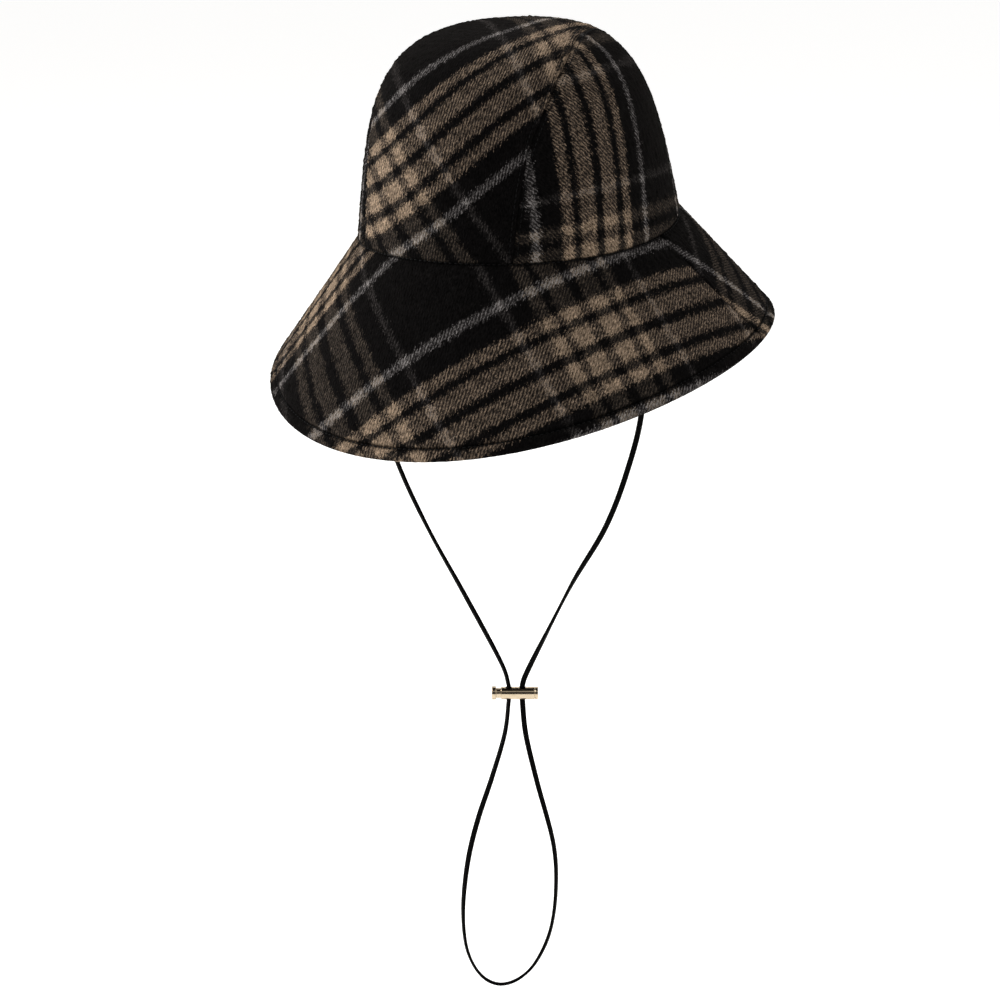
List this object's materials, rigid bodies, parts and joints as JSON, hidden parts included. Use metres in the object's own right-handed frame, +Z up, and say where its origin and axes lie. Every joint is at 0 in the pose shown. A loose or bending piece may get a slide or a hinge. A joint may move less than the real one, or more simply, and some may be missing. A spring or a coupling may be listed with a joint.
{
  "type": "bucket hat with chin cord",
  "caption": "Brushed wool plaid bucket hat with a three-panel crown, a long two-panel brim and a leather chin cord held by a push-button cord lock.",
  "frame": {"origin": "middle of the head opening, where the crown meets the brim", "axes": "+Z up, -Y towards the hat's front, +X towards the wearer's left"},
  "size_m": [0.2724, 0.3162, 0.5726],
  "materials": {
    "plaid_wool": "brushed twill wool, black, beige and grey plaid",
    "black_leather": "flat-cut lace, satin",
    "gold_plate": "pale gold plate, polished"
  },
  "bodies": {
    "hat": {"crown_centre_panel": "plaid_wool", "crown_left_panel": "plaid_wool", "crown_right_panel": "plaid_wool", "brim_front_panel": "plaid_wool", "brim_back_panel": "plaid_wool", "chin_cord": "black_leather", "cord_lock_barrel": "gold_plate"},
    "lock_button": {"cord_lock_plunger": "gold_plate"}
  },
  "joints": [
    {"name": "button_press", "type": "slide", "parent": "hat", "child": "lock_button", "axis": [0.8526, 0.5225, 0], "range_m": [0, 0.002], "stiffness_N_per_m": 600, "springref_m": -0.004}
  ]
}
